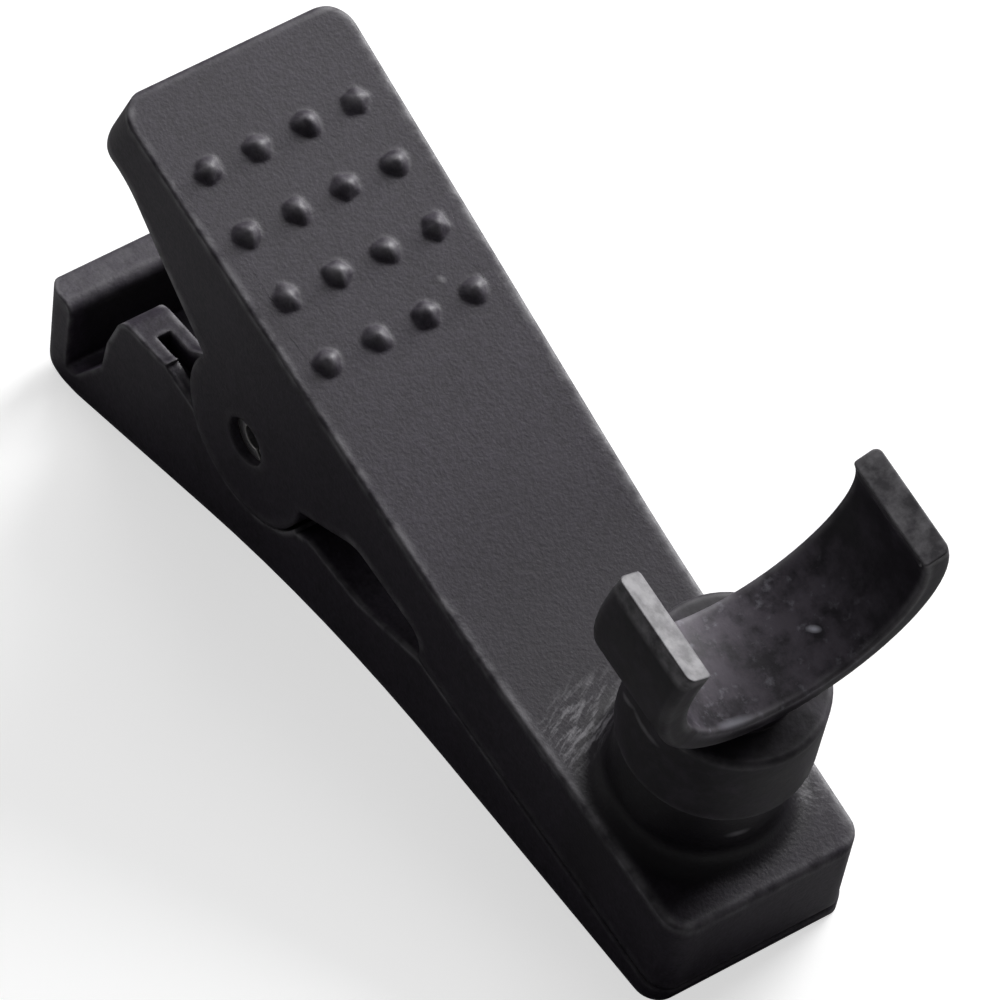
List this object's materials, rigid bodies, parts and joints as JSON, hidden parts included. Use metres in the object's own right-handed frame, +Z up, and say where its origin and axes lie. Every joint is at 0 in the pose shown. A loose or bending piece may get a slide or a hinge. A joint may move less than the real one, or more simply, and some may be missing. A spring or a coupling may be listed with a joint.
{
  "type": "lavalier microphone clip",
  "caption": "Spring-loaded garment clip with a swivelling open cradle that holds a small cylindrical lavalier microphone capsule.",
  "frame": {"origin": "middle of the clip's box on the surface that it lies on", "axes": "+X from the finger end towards the jaw tip, +Y across the clip to its left as seen from the finger end, +Z up from the surface under the closed clip"},
  "size_m": [0.0434, 0.0122, 0.0232],
  "materials": {
    "lever_plastic": "fine-grained matte black moulding, edges slightly rubbed",
    "cradle_plastic": "satin black moulding, a little smoother than the levers",
    "pin_steel": "rolled strip, dark oiled",
    "spring_wire": "drawn spring wire"
  },
  "bodies": {
    "lower": {"lower_lever": "lever_plastic", "torsion_spring": "spring_wire"},
    "upper": {"upper_lever": "lever_plastic", "hinge_pin": "pin_steel"},
    "cradle": {"mic_cradle": "cradle_plastic"}
  },
  "joints": [
    {"name": "jaw_hinge", "type": "hinge", "parent": "lower", "child": "upper", "pos_m": [-0.00767, 0, 0.0075], "axis": [0, -1, 0], "range_deg": [0, 38], "stiffness_Nm_per_rad": 0.03, "springref_deg": -114.59, "deforming": ["torsion_spring"]},
    {"name": "cradle_swivel", "type": "hinge", "parent": "upper", "child": "cradle", "pos_m": [0.01455, 0, 0.00643], "axis": [0.3023, 0, 0.9532], "continuous": true}
  ]
}
